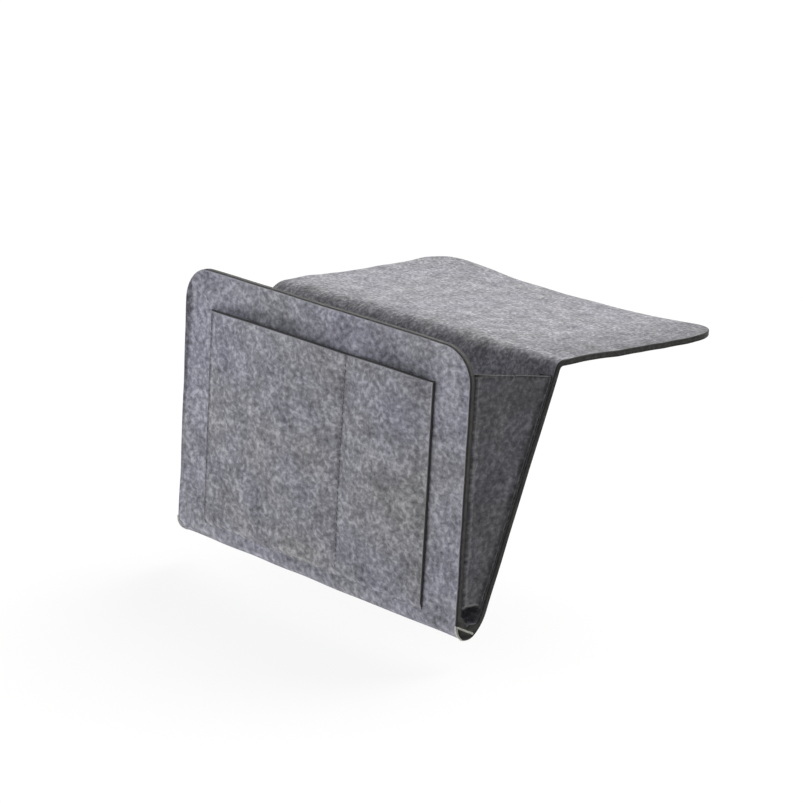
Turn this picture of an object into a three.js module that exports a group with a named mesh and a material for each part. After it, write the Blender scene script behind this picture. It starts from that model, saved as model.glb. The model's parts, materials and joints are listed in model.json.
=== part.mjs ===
// A bedside caddy of grey felt: a thick felt strip folded into a pouch, with a flap that slides
// under a mattress, a patch pocket on the front and a gusset at each side of the pouch.
// Millimetres, +Z up. X runs along the caddy's width, and the flap points along +Y.
// The origin is the middle of the underside of the flap's flat root, beside the top bend.
import * as THREE from "three";

// Main felt strip.
const caddyWidth = 320;
const mainFelt = 5;
const frontHeight = 225; // from the bottom of the fold to the front panel's top edge
const frontCornerRadius = 28;
const flapLength = 194; // from the corner under the top bend to the flap's far edge
const flapCornerRadius = 32;
const flapRoot = 30; // flat strip of the flap beside the top bend
const flapDroop = 6.7; // how far the rest of the flap would hang down, if it were straight
const flapLift = 6; // how far its far edge curls up again
const flapSag = 8.6; // how much lower the middle of the far edge is than its ends
const flapHeight = 196; // the flap's underside above the bottom of the fold
const bendRadius = 4; // inside the top bend
const foldRadius = 13; // outside the bottom fold
const heelRadius = 35; // outside the gentler bend between the fold and the back panel
const heelLean = THREE.MathUtils.degToRad(52);
const backLean = THREE.MathUtils.degToRad(19.5);

// Patch pocket.
const pocketFelt = 3;
const pocketLeftMargin = 34;
const pocketRightMargin = 36;
const pocketTopDrop = 31.5; // below the front panel's top edge
const pocketBottomRise = 16.5; // above the bottom of the fold
const leftPocketWidth = 157; // from the pocket's left edge to the divider seam
const pocketHem = 6; // sewn margin that lies flat on the front panel
const pocketGape = 5.5; // how far the mouth stands off in the middle of each pocket

// Side gussets.
const gussetFelt = 3;
const flangeWidth = 12;
const gussetTopDrop = 18.5; // below the front panel's top edge, at the front flange
const gussetBottomRise = 24.5; // above the bottom of the fold, at the front flange
const gussetArchRise = 2; // how far the web's lower edge arches up at the centre crease

// Thread.
const seamThread = 0.9;
const seamInset = 4; // from a flange's inner edge to its seam
const seamEndGap = 3; // between the ends of a seam and the ends of what it sews
const tackThread = 1.5;
const tackEdgeInset = 0.75; // from the outside of the fold to the middle of the tack's thread

// Gap between neighbouring solids.
const seatGap = 0.3;

const felt = new THREE.MeshStandardMaterial({ color: 0x84848b, roughness: 0.95, metalness: 0 });
const thinFelt = new THREE.MeshStandardMaterial({ color: 0x77777d, roughness: 0.95, metalness: 0 });
const greyThread = new THREE.MeshStandardMaterial({ color: 0x66666b, roughness: 0.8, metalness: 0 });
const paleThread = new THREE.MeshStandardMaterial({ color: 0xd2cfc2, roughness: 0.7, metalness: 0 });

// The side profile, in Y and Z from the foot of the front panel's outer face.
const half = caddyWidth / 2;
const outward = (lean) => new THREE.Vector2(Math.cos(lean), -Math.sin(lean));
const upward = (lean) => new THREE.Vector2(Math.sin(lean), Math.cos(lean));
const foldCentre = new THREE.Vector2(foldRadius, foldRadius);
const heelStart = foldCentre.clone().addScaledVector(outward(heelLean), foldRadius);
const heelCentre = heelStart.clone().addScaledVector(outward(heelLean), -heelRadius);
const backFoot = heelCentre.clone().addScaledVector(outward(backLean), heelRadius);
const bendTurn = Math.PI / 2 - backLean;
const bendTangent = bendRadius * Math.tan(bendTurn / 2);
const cornerAlongBack = (flapHeight - backFoot.y) / Math.cos(backLean);
const backLength = cornerAlongBack - bendTangent;
const cornerY = backFoot.x + cornerAlongBack * Math.sin(backLean);
const flapStart = cornerY + bendTangent;
const flapEnd = cornerY + flapLength;
const bendCentre = new THREE.Vector2(flapStart, flapHeight - bendRadius);

// The gusset's web is a wedge between the two flanges' faces, symmetric about its centre crease.
// Its sides would meet at the apex, below the fold.
const flangeFace = mainFelt + seatGap + gussetFelt;
const webSide = flangeFace + seatGap;
const rearWebFoot = backFoot.clone().addScaledVector(outward(backLean), -webSide);
const apexZ = rearWebFoot.y - (rearWebFoot.x - webSide) / Math.tan(backLean);
const apexAlongBack = new THREE.Vector2(webSide, apexZ).sub(backFoot).dot(upward(backLean));
const webTop = frontHeight - gussetTopDrop - apexZ;
const webBottom = gussetBottomRise - apexZ;

const caddy = new THREE.Group();
const body = new THREE.Group();
body.position.set(0, -(flapStart + (seatGap + flapRoot) / 2), -flapHeight);
caddy.add(body);

// The back panel's own frame: its rear face is at y = 0 and z runs up the panel from the heel.
const back = new THREE.Group();
back.position.set(0, backFoot.x, backFoot.y);
back.rotation.x = -backLean;
body.add(back);

// The webs' frame: z runs up the centre crease from the apex.
const webs = new THREE.Group();
webs.position.set(0, webSide, apexZ);
webs.rotation.x = -backLean / 2;
body.add(webs);

function addMesh(parent, name, geometry, material) {
  const mesh = new THREE.Mesh(geometry, material);
  mesh.name = name;
  parent.add(mesh);
  return mesh;
}

// A panel outline with its two upper corners rounded.
function panelOutline(bottom, top, radius) {
  const outline = new THREE.Shape();
  outline.moveTo(-half, bottom);
  outline.lineTo(half, bottom);
  outline.lineTo(half, top - radius);
  outline.absarc(half - radius, top - radius, radius, 0, Math.PI / 2);
  outline.lineTo(radius - half, top);
  outline.absarc(radius - half, top - radius, radius, Math.PI / 2, Math.PI);
  return outline;
}

// Extrudes an outline in X and Z towards +Y.
function uprightSlab(outline, thickness) {
  const slab = new THREE.ExtrudeGeometry(outline, { depth: thickness, bevelEnabled: false });
  return slab.rotateX(Math.PI / 2).translate(0, thickness, 0);
}

// Extrudes a side profile in Y and Z towards +X.
function sideSlab(profile, thickness) {
  const slab = new THREE.ExtrudeGeometry(profile, { depth: thickness, bevelEnabled: false });
  const turn = new THREE.Matrix4().makeBasis(
    new THREE.Vector3(0, 1, 0),
    new THREE.Vector3(0, 0, 1),
    new THREE.Vector3(1, 0, 0),
  );
  return slab.applyMatrix4(turn);
}

// How far the limp flap hangs below its flat root: a straight droop, less a curl that grows towards
// the far edge, and a sag across the width.
function flapDrop(x, y) {
  const rootEnd = flapStart + flapRoot;
  const out = Math.max(0, (y - rootEnd) / (flapEnd - rootEnd));
  const across = 1 - (x / half) ** 2;
  return flapDroop * out - flapLift * out ** 3 + flapSag * across * out ** 2;
}

// The flap is a sheet in columns and rows. The rows run over the root, the middle and the round
// corners, and each row is as wide as the flap is there.
function addFlap() {
  const columns = 8;
  const middleRows = 4;
  const cornerRows = 5;
  const cornerStart = flapEnd - flapCornerRadius;
  const rowPlaces = [flapStart + seatGap];
  for (let i = 0; i <= middleRows; i++) {
    rowPlaces.push(THREE.MathUtils.lerp(flapStart + flapRoot, cornerStart, i / middleRows));
  }
  for (let i = 1; i <= cornerRows; i++) {
    rowPlaces.push(cornerStart + flapCornerRadius * Math.sin(((Math.PI / 2) * i) / cornerRows));
  }
  const rows = rowPlaces.length - 1;
  const sheet = new THREE.BoxGeometry(caddyWidth, rows, mainFelt, columns, rows, 1);
  const points = sheet.getAttribute("position");
  for (let i = 0; i < points.count; i++) {
    const y = rowPlaces[Math.round(points.getY(i) + rows / 2)];
    const past = Math.max(0, y - cornerStart);
    const inset = flapCornerRadius - Math.sqrt(flapCornerRadius ** 2 - past ** 2);
    const x = (points.getX(i) * (half - inset)) / half;
    points.setXYZ(i, x, y, flapHeight + mainFelt / 2 + points.getZ(i) - flapDrop(x, y));
  }
  addMesh(body, "mattress_flap", sheet, felt);
}

// The rest of the main felt strip, from the top bend to the front panel.
function addMainFelt() {
  const bend = new THREE.Shape();
  const bendEnd = Math.PI / 2 + bendTurn;
  bend.absarc(bendCentre.x, bendCentre.y, bendRadius + mainFelt, Math.PI / 2, bendEnd);
  bend.absarc(bendCentre.x, bendCentre.y, bendRadius, bendEnd, Math.PI / 2, true);
  addMesh(body, "top_bend", sideSlab(bend, caddyWidth).translate(-half, 0, 0), felt);

  const panelLength = backLength - 2 * seatGap;
  const backSlab = new THREE.BoxGeometry(caddyWidth, mainFelt, panelLength);
  addMesh(back, "back_panel", backSlab.translate(0, -mainFelt / 2, backLength / 2), felt);

  const fold = new THREE.Shape();
  const foldEnd = 2 * Math.PI - heelLean;
  fold.absarc(foldCentre.x, foldCentre.y, foldRadius, Math.PI, foldEnd);
  fold.absarc(heelCentre.x, heelCentre.y, heelRadius, -heelLean, -backLean);
  fold.absarc(heelCentre.x, heelCentre.y, heelRadius - mainFelt, -backLean, -heelLean, true);
  fold.absarc(foldCentre.x, foldCentre.y, foldRadius - mainFelt, foldEnd, Math.PI, true);
  addMesh(body, "bottom_fold", sideSlab(fold, caddyWidth).translate(-half, 0, 0), felt);

  const frontOutline = panelOutline(foldRadius + seatGap, frontHeight, frontCornerRadius);
  addMesh(body, "front_panel", uprightSlab(frontOutline, mainFelt), felt);
}

// Patch pocket, in X from its left edge and Z from its bottom edge.
const pocketWidth = caddyWidth - pocketLeftMargin - pocketRightMargin;
const pocketHeight = frontHeight - pocketTopDrop - pocketBottomRise;
const pocketLeft = pocketLeftMargin - half;

// How far the felt stands off the front panel: nothing at the sewn lines, a half wave between
// them, growing from the bottom hem to the mouth.
function pocketCrown(x, z) {
  const dividerHem = pocketHem / 2;
  const left = [pocketHem, leftPocketWidth - dividerHem];
  const right = [leftPocketWidth + dividerHem, pocketWidth - pocketHem];
  const [start, end] = x < leftPocketWidth ? left : right;
  const across = THREE.MathUtils.clamp((x - start) / (end - start), 0, 1);
  const rise = THREE.MathUtils.clamp((z - pocketHem) / (pocketHeight - pocketHem), 0, 1);
  return pocketGape * Math.sin(Math.PI * across) * Math.sin((Math.PI / 2) * rise);
}

function addPocket() {
  const columns = 34;
  const rows = 10;
  const sheet = new THREE.BoxGeometry(pocketWidth, pocketFelt, pocketHeight, columns, 1, rows);
  sheet.translate(pocketWidth / 2, -seatGap - pocketFelt / 2, pocketHeight / 2);
  const points = sheet.getAttribute("position");
  for (let i = 0; i < points.count; i++) {
    points.setY(i, points.getY(i) - pocketCrown(points.getX(i), points.getZ(i)));
  }
  addMesh(body, "front_pocket", sheet, felt).position.set(pocketLeft, 0, pocketBottomRise);

  const inset = pocketHem / 2;
  const run = new THREE.Shape();
  const outerLeft = inset - seamThread / 2;
  const outerRight = pocketWidth - outerLeft;
  const mouth = pocketHeight - seamEndGap;
  run.moveTo(outerLeft, mouth);
  run.lineTo(outerLeft, outerLeft);
  run.lineTo(outerRight, outerLeft);
  run.lineTo(outerRight, mouth);
  run.lineTo(outerRight - seamThread, mouth);
  run.lineTo(outerRight - seamThread, outerLeft + seamThread);
  run.lineTo(outerLeft + seamThread, outerLeft + seamThread);
  run.lineTo(outerLeft + seamThread, mouth);
  const threadY = -2 * seatGap - pocketFelt - seamThread;
  const edgeSeam = addMesh(body, "pocket_edge_seam", uprightSlab(run, seamThread), greyThread);
  edgeSeam.position.set(pocketLeft, threadY, pocketBottomRise);

  const dividerLength = mouth - pocketHem;
  const divider = new THREE.BoxGeometry(seamThread, seamThread, dividerLength);
  const dividerSeam = addMesh(body, "pocket_divider_seam", divider, greyThread);
  dividerSeam.position.set(
    pocketLeft + leftPocketWidth,
    threadY + seamThread / 2,
    pocketBottomRise + pocketHem + dividerLength / 2,
  );
}

// A flange's section: a strip along a panel's inner face, with a groove for its seam's thread on
// the side that faces into the pouch. X runs from the caddy's side inwards, Y off the panel.
function flangeSection(side, off) {
  const seamX = half - flangeWidth + seamInset;
  const grooveHalf = seamThread / 2 + seatGap;
  const grooveFloor = gussetFelt - seamThread - seatGap;
  const corners = [
    [half, 0],
    [half, gussetFelt],
    [seamX + grooveHalf, gussetFelt],
    [seamX + grooveHalf, grooveFloor],
    [seamX - grooveHalf, grooveFloor],
    [seamX - grooveHalf, gussetFelt],
    [half - flangeWidth, gussetFelt],
    [half - flangeWidth, 0],
  ];
  return new THREE.Shape(corners.map(([x, y]) => new THREE.Vector2(side * x, off * y)));
}

// One flange with its seam. off is +1 where the pouch lies towards +Y of the panel's inner face.
function addFlange(parent, side, off, label, panelFace, bottom, length) {
  const strip = new THREE.ExtrudeGeometry(flangeSection(side, off), { depth: length, bevelEnabled: false });
  const flange = addMesh(parent, `${label}_flange`, strip, thinFelt);
  flange.position.set(0, panelFace + off * seatGap, bottom);

  const threadLength = length - 2 * seamEndGap;
  const thread = new THREE.CylinderGeometry(seamThread / 2, seamThread / 2, threadLength, 8);
  const seam = addMesh(parent, `${label}_seam`, thread.rotateX(Math.PI / 2), greyThread);
  seam.position.set(
    side * (half - flangeWidth + seamInset),
    panelFace + off * (seatGap + gussetFelt - seamThread / 2),
    bottom + length / 2,
  );
}

// Half of a web, from the centre crease (y = 0) to the flange at its end: towards +Y for the rear.
function webOutline(end) {
  const halfLean = backLean / 2;
  const top = webTop * Math.cos(halfLean);
  const bottom = webBottom * Math.cos(halfLean);
  const crease = seatGap / 2;
  const outline = new THREE.Shape();
  const foot = bottom * Math.tan(halfLean);
  outline.moveTo(end * crease, bottom + gussetArchRise);
  outline.quadraticCurveTo(end * foot, bottom + gussetArchRise, end * foot, bottom);
  outline.lineTo(end * top * Math.tan(halfLean), top);
  outline.lineTo(end * crease, top);
  return outline;
}

function addGusset(side, name) {
  const length = webTop - webBottom;
  const rearBottom = apexAlongBack + webBottom;
  addFlange(body, side, 1, `${name}_front`, mainFelt, gussetBottomRise, length);
  addFlange(back, side, -1, `${name}_rear`, -mainFelt, rearBottom, length);
  const inner = side > 0 ? half - gussetFelt : -half;
  const frontWeb = sideSlab(webOutline(-1), gussetFelt).translate(inner, 0, 0);
  const rearWeb = sideSlab(webOutline(1), gussetFelt).translate(inner, 0, 0);
  addMesh(webs, `${name}_front_web`, frontWeb, thinFelt);
  addMesh(webs, `${name}_rear_web`, rearWeb, thinFelt);
}

// A loop of thread on the cut end of the bottom fold: round the outside of the fold, then straight
// across its mouth.
function addEndTack(side, name) {
  const radius = foldRadius - tackEdgeInset;
  const arcSteps = 16;
  const chordSteps = 5;
  const openShare = 0.06; // the thread's two ends stop this share of the chord apart
  const x = side * (half + seatGap + tackThread / 2);
  const arcEnd = 2 * Math.PI - heelLean;
  const points = [];
  for (let i = 0; i <= arcSteps; i++) {
    const angle = THREE.MathUtils.lerp(Math.PI, arcEnd, i / arcSteps);
    points.push(
      new THREE.Vector3(x, foldCentre.x + radius * Math.cos(angle), foldCentre.y + radius * Math.sin(angle)),
    );
  }
  const first = points[0];
  const last = points[arcSteps].clone();
  for (let i = 1; i <= chordSteps; i++) {
    points.push(last.clone().lerp(first, (i / chordSteps) * (1 - openShare)));
  }
  const path = new THREE.CatmullRomCurve3(points, false, "centripetal");
  const section = new THREE.Shape();
  section.absarc(0, 0, tackThread / 2, 0, 2 * Math.PI);
  const loop = new THREE.ExtrudeGeometry(section, {
    steps: 2 * (arcSteps + chordSteps),
    curveSegments: 6,
    extrudePath: path,
  });
  addMesh(body, `${name}_end_tack`, loop, paleThread);
}

addFlap();
addMainFelt();
addPocket();
for (const [side, name] of [[1, "right"], [-1, "left"]]) {
  addGusset(side, name);
  addEndTack(side, name);
}

export default caddy;
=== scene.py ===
"""Looks of a grey felt bedside caddy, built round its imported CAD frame. Metres, +Z up."""
import json
from math import atan2, cos, pi, radians, sin

import bmesh
import bpy
import numpy as np
from mathutils import Matrix, Vector


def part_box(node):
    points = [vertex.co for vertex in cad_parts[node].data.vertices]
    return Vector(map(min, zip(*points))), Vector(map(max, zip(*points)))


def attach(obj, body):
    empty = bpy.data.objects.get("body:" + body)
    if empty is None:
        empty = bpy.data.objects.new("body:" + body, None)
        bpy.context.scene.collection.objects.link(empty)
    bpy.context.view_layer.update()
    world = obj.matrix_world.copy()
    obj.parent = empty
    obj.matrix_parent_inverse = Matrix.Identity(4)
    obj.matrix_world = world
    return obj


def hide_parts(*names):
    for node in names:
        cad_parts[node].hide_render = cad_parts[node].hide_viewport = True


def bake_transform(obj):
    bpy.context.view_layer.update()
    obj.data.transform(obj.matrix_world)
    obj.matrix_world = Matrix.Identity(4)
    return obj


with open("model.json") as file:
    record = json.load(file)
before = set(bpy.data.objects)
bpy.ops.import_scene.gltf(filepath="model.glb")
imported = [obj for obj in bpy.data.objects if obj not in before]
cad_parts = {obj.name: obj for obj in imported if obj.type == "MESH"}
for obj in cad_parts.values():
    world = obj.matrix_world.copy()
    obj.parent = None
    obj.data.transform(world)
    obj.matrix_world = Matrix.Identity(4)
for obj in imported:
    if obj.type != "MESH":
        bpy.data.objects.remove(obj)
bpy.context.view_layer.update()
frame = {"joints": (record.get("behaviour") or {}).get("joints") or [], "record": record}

MM = 0.001

# Sizes read from the frame.
joints = {joint["name"]: joint for joint in frame["joints"]}
mounts = {mount["name"]: mount for mount in frame["record"]["mounts"]}
front_low, front_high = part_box("front_panel")
pocket_low, pocket_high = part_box("front_pocket")
flange_low, flange_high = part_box("right_front_flange")
tack_low, tack_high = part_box("right_end_tack")
fold_axis = Vector(joints["front_fold"]["pos_m"])
bend_axis = Vector(joints["flap_bend"]["pos_m"])
half_width = front_high.x
main_felt = front_high.y - front_low.y
front_face = front_low.y
bend_radius = -bend_axis.z
flap_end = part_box("mattress_flap")[1].y
back_out = mounts["back_face"]["axis"]
back_lean = atan2(-back_out[2], back_out[1])
divider_low, divider_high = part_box("pocket_divider_seam")
divider_x = (divider_low.x + divider_high.x) / 2

# Main felt.
front_corner = 28 * MM
flap_corner = 32 * MM
heel_radius = 35 * MM
heel_lean = radians(52)
main_rim = 0.9 * MM  # rounding of the cut edges
ripple_height = 0.9 * MM  # unevenness of all the felt
ripple_seed = 5
ripple_waves = 10
shortest_ripple = 25 * MM
longest_ripple = 90 * MM
cut_fade = 2.4 * MM  # width over which a cut edge's darkness fades into the face
heel_overlap = 6 * MM  # the lower length of felt ends this far up the back
crease_skew = 3.5 * MM  # the crease is higher at its right end and lower at its left by this much
slack_bend = 13 * MM  # how much larger the top bend's radius is at its left end
flap_root = 30 * MM  # flat strip of the flap beside the top bend
flap_droop = 6.7 * MM
flap_lift = 6 * MM
flap_sag = 8.6 * MM
flap_twist = 1.4 * MM
fold_fill = 6 * MM  # felt pinched into the fold at its tacked ends
pinch_reach = 22 * MM  # how far the pinch reaches in from each end
pinch_rise = 0.8 * pinch_reach
pinch_ease = 8 * MM

# Painted shade and cut values of the main felt, and the darker band on its left edge. A shade of 1 is
# nearly black, and a cut value over 1 is a cut wall.
fold_shade = 0.5  # painted shade inside the fold, where it is pinched
left_band_low = 2.4 * MM  # width of the darker band on the front's left edge, at its foot and its top
left_band_high = 8.0 * MM
left_band_blur = 1.5 * MM
left_foot_darkness = 0.2
left_top_darkness = 0.6
left_full_at = 0.2  # shares of the front's height, from its top, between which the band gets thin
left_thin_at = 0.76
left_bare = 10 * MM  # strip of the front's left edge without a line along its cut
left_bare_fade = 15 * MM
hollow_shade = 0.42  # painted shade in the hollow of the top bend
hollow_width = 14 * MM
hollow_offset = 3 * MM
hollow_right = 0.45  # share of it that is left at the right end
hollow_full_at = 0.1  # shares of the half width between which it fades
hollow_faint_at = 0.8
right_shade = 0.34  # painted shade towards the flap's right edge
right_shade_reach = 75 * MM
right_shade_ease = 20 * MM
# Cut values in the middle of the walls. A lower value is darker: the flap's and back's walls are darker than
# the front's as painted shade.
flap_wall_cut = 1.15
front_wall_cut = 1.5
top_wall_drop = 0.26  # how much less it is along the front's top edge, as painted shade where the top light falls
top_wall_fade = 0.8 * front_corner  # height over which that eases out
top_wall_lead = 0.4  # and stays full over this share of it before
foot_wall_drop = 0.22  # how much less it is at the front's foot

# Patch pocket.
pocket_felt = 3 * MM
pocket_hem = 6 * MM
pocket_gape = pocket_high.y - pocket_low.y - pocket_felt
thin_rim = 0.55 * MM
stitch_groove = 0.25 * MM
pressed_felt = 2 * MM  # at the sewn sides
pressed_reach = 1.5 * pocket_hem
foot_felt = 0.1 * MM  # at the sewn foot, which blends into the panel
foot_reach = 0.9 * pocket_hem
divider_bow = 1.8 * MM  # the divider seam bows to the left by this much below its middle
bow_power = 0.7  # under 1 puts the widest bow below the middle
mouth_lift = 0.8 * MM
mouth_bow = 2.6 * MM  # how far the mouth rises where it stands open
groove_width = 2.1 * MM  # of the groove that the divider seam pulls in
groove_ease = 4 * pocket_hem  # height over which it comes in
# Painted shade in that groove.
groove_shade = 0.4
pocket_left_shadow_depth = 0.55  # painted shadow along the pocket's left edge, which also stands for its dark cut
pocket_left_shadow_width = 2.2 * MM
pocket_left_shadow_inset = 0.6 * MM
pocket_cut_line = 0.3 * MM
pocket_wall_cut = 1.5

# Gussets.
gusset_felt = flange_high.y - flange_low.y
flange_width = flange_high.x - flange_low.x
front_turn = 1.6 * MM  # radius of the bend from flange to web, at the middle of the felt
rear_turn = 3.6 * MM
arch_rise = 2 * MM
seam_inset = 4 * MM
front_bend_highlight = 0.6  # painted highlight on the front bend
rear_bend_shade = 0.75  # painted shade in the rear bend
highlight_width = 1.8 * MM
highlight_offset = 1 * MM
highlight_at_foot = 0.6  # share of it that is left at the foot
bend_shade_width = 3 * MM
gusset_cut_line = 0.7 * MM  # the line along a cut edge fades out over this width
gusset_cut_lead = 0.7  # and stays full over this share of it before
# Painted shade on the gussets' top edges, which face the top light, and a lower wall value than the front's,
# so darker walls, also as painted shade.
gusset_top_shade = 0.7
gusset_wall_cut = 1.2

# Thread.
stitch_pitch = 4.0 * MM
stitch_length = 3.3 * MM
stitch_radius = 0.42 * MM
stitch_stand = 0.75  # how far its middle stands off the felt and its ends dip in, in radii
stitch_dip = 0.5
ply_pitch = 2.4 * MM
ply_size = 0.29  # a strand's radius, as a share of the thread
tack_thread = tack_high.x - tack_low.x
tack_wrap = 0.8 * MM  # how far the tack wraps onto the fold's outer face
left_pull = 0.8 * MM  # how much deeper the left tack is pulled into the felt
tack_swell = 1.1  # how much plumper the tack is where its loop starts
swell_end = 0.25  # share of the loop over which that eases out
tack_depth = 0.5  # how deep it lies in the felt, in threads, and how much deeper under the fold
tack_extra = 0.9
sink_start, sink_ease = 0.2, 0.12  # shares of the loop where it sinks and where it comes out
rise_end, rise_ease = 0.66, 0.1

RIM_ANGLES = np.radians([0, 30, 60, 90])
RIM_MARGIN = 2.5  # the even columns start this many rims from a cut edge
CORNER_ANGLES = np.radians(np.linspace(0, 90, 21))
GRID_STEP = 4 * MM
BEND_STEP = 1.2 * MM
FADE_STEPS = np.array([3, 2, 1]) * MM  # closer columns where a cut edge's darkness fades
SEAM_STEPS = np.array([-3, -2, -1.3, -0.6, 0, 0.6, 1.3, 2, 3]) * MM  # closer places beside a sewn line
FLANGE_COLUMNS = 6
TURN_COLUMNS = 8
WEB_COLUMNS = 13
WEB_ROWS = 46
DIVIDER_TURNS = 9
STITCH_RINGS = 7
STITCH_SIDES = 6
ONE_STITCH = 1.01 * stitch_pitch  # just over one pitch, which takes one stitch
TACK_ARC_STEPS = 60
TACK_RINGS = 240
TACK_SIDES = 8
WELD_REACH = 1e-6
SLIVER = 1e-7
SHARP_ANGLE = radians(50)
LOWER_SHIFT = np.array([1, 0])  # keeps the grain of a slab's two faces apart
WALL_SHIFT = 2  # keeps the grain of its wall apart from both
CREASE_SHIFT = 3  # where the gussets' crease lies on the grain
HAND_SHIFT = 0.4  # keeps the grain of the two gussets apart


def follow(distance, start, heading, runs):
    """Points and headings at distances along a path in a plane.

    The path is a chain of runs, each a length and a turn. A run with no turn is straight, and any other
    is an arc of radius length / turn.
    """
    left = np.array(distance, float)
    across = np.full_like(left, start[0])
    along = np.full_like(left, start[1])
    angle = np.full_like(left, heading)
    for length, turn in runs:
        part = np.clip(left, 0, length)
        if turn:
            rate = turn / length
            across += (np.sin(heading + rate * part) - np.sin(heading)) / rate
            along += (np.cos(heading) - np.cos(heading + rate * part)) / rate
            angle += rate * part
            heading += turn
        else:
            across += part * np.cos(heading)
            along += part * np.sin(heading)
        left = left - length
    return across, along, angle


def smooth(value):
    """0 below 0, 1 above 1, and an even ease between them."""
    t = np.clip(value, 0, 1)
    return t * t * (3 - 2 * t)


def bell(distance, width):
    """A bell curve, 1 at 0."""
    return np.exp(-((distance / width) ** 2))


def ripple(points):
    """Unevenness of felt: the mean of several sine waves of random lengths in random directions."""
    draw = np.random.default_rng(ripple_seed)
    ways = draw.normal(size=(ripple_waves, 3))
    lengths = draw.uniform(shortest_ripple, longest_ripple, ripple_waves)
    ways *= (2 * pi / lengths / np.linalg.norm(ways, axis=1))[:, None]
    phases = draw.uniform(0, 2 * pi, ripple_waves)
    return ripple_height * np.sin(points @ ways.T + phases).mean(-1)


def rim_steps(rim):
    """Distances from a cut edge at which its rounding is drawn, by even angles of a quarter circle."""
    return rim * (1 - np.cos(RIM_ANGLES))


def rim_depth(edge, felt, rim):
    """Half the felt's depth at a distance from its cut edge: a quarter circle of radius rim, then full."""
    inside = np.clip(rim - edge, 0, rim)
    return felt / 2 - rim + np.sqrt(rim * rim - inside * inside)


def spread_columns(half_span, rim):
    """Offsets from the middle of a strip to both its edges, close together in the rounded rims."""
    inner = half_span - RIM_MARGIN * rim
    body = np.linspace(-inner, inner, 2 * int(inner / GRID_STEP) + 1)
    right = half_span - rim_steps(rim)
    beside = inner - FADE_STEPS
    return np.unique(np.round(np.concatenate([-right, -beside, body, beside, right]), 6))


def closed_border(grid):
    """The outline of a grid, once round and back to its start."""
    return np.concatenate([grid[0], grid[1:, -1], grid[-1, -2::-1], grid[-2::-1, 0]])


def grid_faces(rows, columns, first):
    """The four corners of each cell of a grid whose points are numbered row by row from first."""
    number = first + np.arange(rows * columns).reshape(rows, columns)
    corners = [number[:-1, :-1], number[:-1, 1:], number[1:, 1:], number[1:, :-1]]
    return np.stack(corners, -1).reshape(-1, 4)


def mesh_piece(name, patches, material):
    """One closed mesh from grids of points. Each patch is points, surface coordinates, cut and shade."""
    points, surface, cut, shade = [
        np.concatenate([part.reshape(-1, width) for part in parts]).astype(np.float32)
        for parts, width in zip(zip(*patches), (3, 2, 1, 1))
    ]
    firsts = np.cumsum([0] + [patch[2].size for patch in patches])
    faces = np.concatenate([grid_faces(*patch[2].shape, first) for patch, first in zip(patches, firsts)])
    mesh = bpy.data.meshes.new(name)
    mesh.vertices.add(len(points))
    mesh.vertices.foreach_set("co", points.ravel())
    mesh.loops.add(faces.size)
    mesh.loops.foreach_set("vertex_index", faces.astype(np.int32).ravel())
    mesh.polygons.add(len(faces))
    mesh.polygons.foreach_set("loop_start", np.arange(0, faces.size, 4, dtype=np.int32))
    mesh.update(calc_edges=True)
    layer = mesh.uv_layers.new(name="surface")
    layer.uv.foreach_set("vector", surface[faces.ravel()].ravel())
    for kind, values in (("cut", cut), ("shade", shade)):
        mesh.attributes.new(kind, "FLOAT", "POINT").data.foreach_set("value", values.ravel())
    weld(mesh)
    mesh.shade_smooth()
    mesh.set_sharp_from_angle(angle=SHARP_ANGLE)
    mesh.materials.append(material)
    piece = bpy.data.objects.new(name, mesh)
    bpy.context.scene.collection.objects.link(piece)
    return piece


def weld(mesh):
    """Joins the patches of a mesh at their shared edges and turns its faces outwards."""
    shape = bmesh.new()
    shape.from_mesh(mesh)
    bmesh.ops.remove_doubles(shape, verts=shape.verts, dist=WELD_REACH)
    bmesh.ops.dissolve_degenerate(shape, edges=shape.edges, dist=SLIVER)
    bmesh.ops.recalc_face_normals(shape, faces=shape.faces)
    shape.to_mesh(mesh)
    shape.free()


def cut_share(edge, rim):
    """1 within rim of a cut edge, fading evenly to 0 over the felt beside it."""
    return np.clip(1 - (edge - rim) / cut_fade, 0, 1)


def felt_slab(name, middle, normal, depths, cuts, shades, wall_cut, surface, material):
    """A slab of felt on a middle surface.

    depths says how far the two layers stand off the middle along the normal and against it, cuts how far
    each looks like a cut edge and shades how far each is darkened by painted shade, or by the darker band
    up the front's left edge. A straight wall joins their outlines.
    It looks cut where the felt beside it does, with the value wall_cut in its middle.
    """
    upper = middle + normal * depths[0][..., None]
    lower = middle - normal * depths[1][..., None]
    inner = closed_border(np.broadcast_to(wall_cut, cuts[0].shape))
    rim = np.ones_like(inner)
    cut = np.stack([rim, inner, inner, rim]) * (closed_border(cuts[0]) > 0.5)
    share = np.linspace(0, 1, len(cut))[:, None, None]
    wall = closed_border(upper) * (1 - share) + closed_border(lower) * share
    steps = np.linalg.norm(np.diff(wall, axis=1), axis=2)
    run = np.concatenate([np.zeros((len(wall), 1)), np.cumsum(steps, axis=1)], axis=1)
    rise = share[..., 0] * np.linalg.norm(wall[-1] - wall[0], axis=1)
    shade = np.broadcast_to(closed_border(shades[1]), run.shape)
    patches = [
        (upper, surface, cuts[0], shades[0]),
        (lower, surface + LOWER_SHIFT, cuts[1], shades[1]),
        (wall, np.stack([run, rise + WALL_SHIFT], -1), cut, shade),
    ]
    return mesh_piece(name, patches, material)


# Main felt strip, followed from the front panel's top edge to the flap's far edge.

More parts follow.
